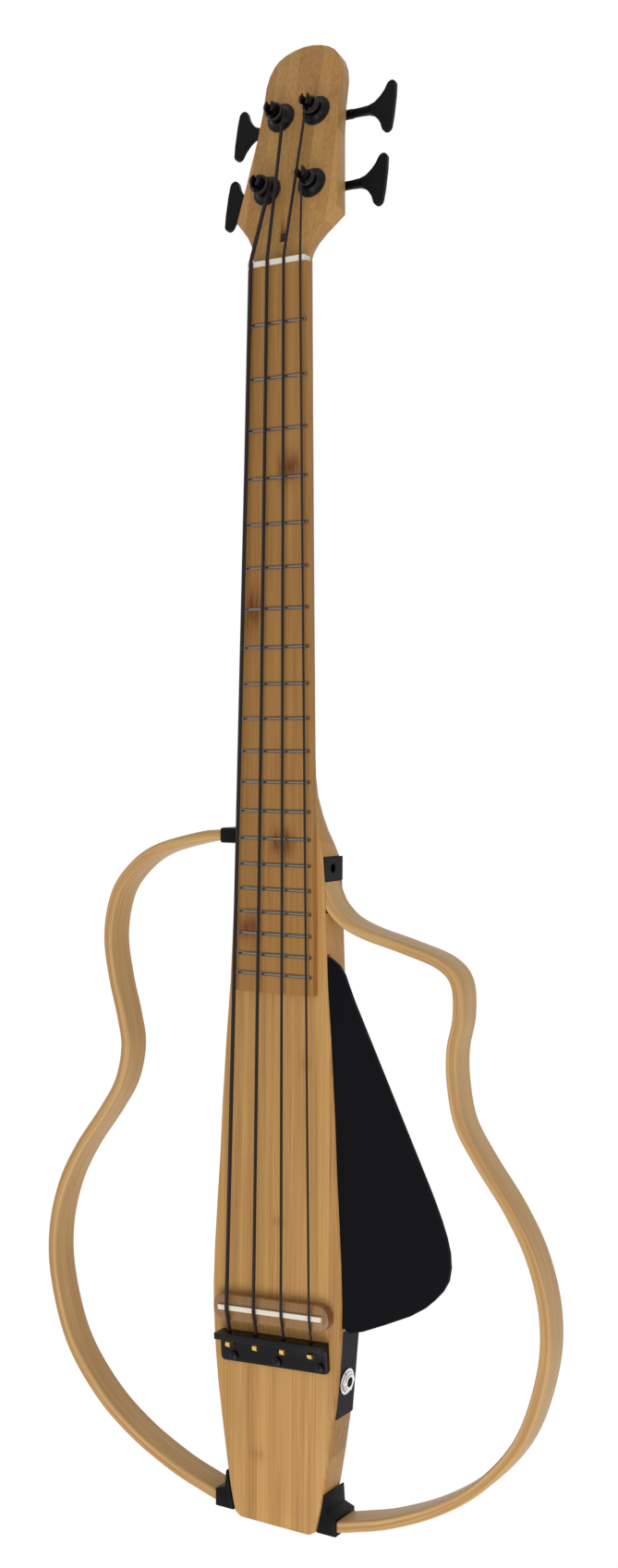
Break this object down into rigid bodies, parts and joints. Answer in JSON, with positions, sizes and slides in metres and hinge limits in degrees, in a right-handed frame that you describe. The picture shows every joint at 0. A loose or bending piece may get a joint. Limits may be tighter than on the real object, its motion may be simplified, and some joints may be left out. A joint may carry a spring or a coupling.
{
  "type": "travel bass guitar",
  "caption": "Slim wooden travel bass guitar with a tilted headstock, worm-gear tuners and two bent wooden side frames that pull out of sockets in the body.",
  "frame": {"origin": "the nut line at the middle of the fingerboard's top face, between the headstock's shoulders, where a wall hanger holds the neck", "axes": "+Z along the strings towards the headstock, -Y out of the front, +X to the treble side"},
  "size_m": [0.3702, 0.0544, 0.9396],
  "materials": {
    "bamboo": "satin lacquer",
    "caramel_bamboo": "satin",
    "ivory": "satin",
    "black_wrap": "black round wound",
    "matt_black": "matt",
    "black_plastic": "gloss",
    "black_metal": "gloss black",
    "silver": "polished",
    "steel": "plain",
    "brass": "plain"
  },
  "bodies": {
    "body": {"body_neck": "bamboo", "fingerboard": "caramel_bamboo", "nut": "ivory", "truss_rod": "steel", "bridge": "caramel_bamboo", "saddle": "ivory", "piezo_strip": "brass", "tailpiece": "black_metal", "tailpiece_screw_1": "black_metal", "tailpiece_screw_2": "black_metal", "tailpiece_screw_3": "black_metal", "string_e": "black_wrap", "string_a": "black_wrap", "string_d": "black_wrap", "string_g": "black_wrap", "knee_plate": "matt_black", "side_panel": "black_plastic", "jack": "silver", "jack_nut": "silver", "jack_washer": "silver", "upper_left_socket": "black_plastic", "upper_right_socket": "black_plastic", "lower_left_socket": "black_plastic", "lower_right_socket": "black_plastic", "tuner_e_housing": "black_metal", "tuner_e_bushing": "black_metal", "tuner_e_screw": "black_metal", "tuner_a_housing": "black_metal", "tuner_a_bushing": "black_metal", "tuner_a_screw": "black_metal", "tuner_d_housing": "black_metal", "tuner_d_bushing": "black_metal", "tuner_d_screw": "black_metal", "tuner_g_housing": "black_metal", "tuner_g_bushing": "black_metal", "tuner_g_screw": "black_metal"},
    "left_frame": {"left_frame": "bamboo"},
    "right_frame": {"right_frame": "bamboo"},
    "truss_nut": {"truss_rod_nut": "steel"},
    "knob_e": {"tuner_e_worm": "steel", "tuner_e_button": "black_plastic"},
    "post_e": {"tuner_e_post": "black_metal", "tuner_e_gear": "brass"},
    "knob_a": {"tuner_a_worm": "steel", "tuner_a_button": "black_plastic"},
    "post_a": {"tuner_a_post": "black_metal", "tuner_a_gear": "brass"},
    "knob_d": {"tuner_d_worm": "steel", "tuner_d_button": "black_plastic"},
    "post_d": {"tuner_d_post": "black_metal", "tuner_d_gear": "brass"},
    "knob_g": {"tuner_g_worm": "steel", "tuner_g_button": "black_plastic"},
    "post_g": {"tuner_g_post": "black_metal", "tuner_g_gear": "brass"}
  },
  "joints": [
    {"name": "knob_e_turn", "type": "hinge", "parent": "body", "child": "knob_e", "pos_m": [-0.0167, 0.03245, 0.05399], "axis": [1, 0, 0], "continuous": true},
    {"name": "post_e_turn", "type": "hinge", "parent": "body", "child": "post_e", "pos_m": [-0.0167, 0.0136, 0.05289], "axis": [0, 0.9781, -0.2079], "continuous": true},
    {"name": "knob_a_turn", "type": "hinge", "parent": "body", "child": "knob_a", "pos_m": [-0.0132, 0.04301, 0.10368], "axis": [1, 0, 0], "continuous": true},
    {"name": "post_a_turn", "type": "hinge", "parent": "body", "child": "post_a", "pos_m": [-0.0132, 0.02417, 0.10258], "axis": [0, 0.9781, -0.2079], "continuous": true},
    {"name": "knob_d_turn", "type": "hinge", "parent": "body", "child": "knob_d", "pos_m": [0.0132, 0.04301, 0.10368], "axis": [1, 0, 0], "continuous": true},
    {"name": "post_d_turn", "type": "hinge", "parent": "body", "child": "post_d", "pos_m": [0.0132, 0.02417, 0.10258], "axis": [0, 0.9781, -0.2079], "continuous": true},
    {"name": "knob_g_turn", "type": "hinge", "parent": "body", "child": "knob_g", "pos_m": [0.0167, 0.03245, 0.05399], "axis": [1, 0, 0], "continuous": true},
    {"name": "post_g_turn", "type": "hinge", "parent": "body", "child": "post_g", "pos_m": [0.0167, 0.0136, 0.05289], "axis": [0, 0.9781, -0.2079], "continuous": true},
    {"name": "left_frame_pull", "type": "slide", "parent": "body", "child": "left_frame", "axis": [-1, 0, 0], "range_m": [0, 0.06]},
    {"name": "right_frame_pull", "type": "slide", "parent": "body", "child": "right_frame", "axis": [1, 0, 0], "range_m": [0, 0.06]},
    {"name": "truss_nut_turn", "type": "hinge", "parent": "body", "child": "truss_nut", "pos_m": [0, 0.009, 0.018], "axis": [0, 0, 1], "range_deg": [-180, 180]}
  ],
  "couplings": [
    {"joint": "post_e_turn", "follows": "knob_e_turn", "ratio": -0.0625},
    {"joint": "post_a_turn", "follows": "knob_a_turn", "ratio": -0.0625},
    {"joint": "post_d_turn", "follows": "knob_d_turn", "ratio": -0.0625},
    {"joint": "post_g_turn", "follows": "knob_g_turn", "ratio": -0.0625}
  ]
}
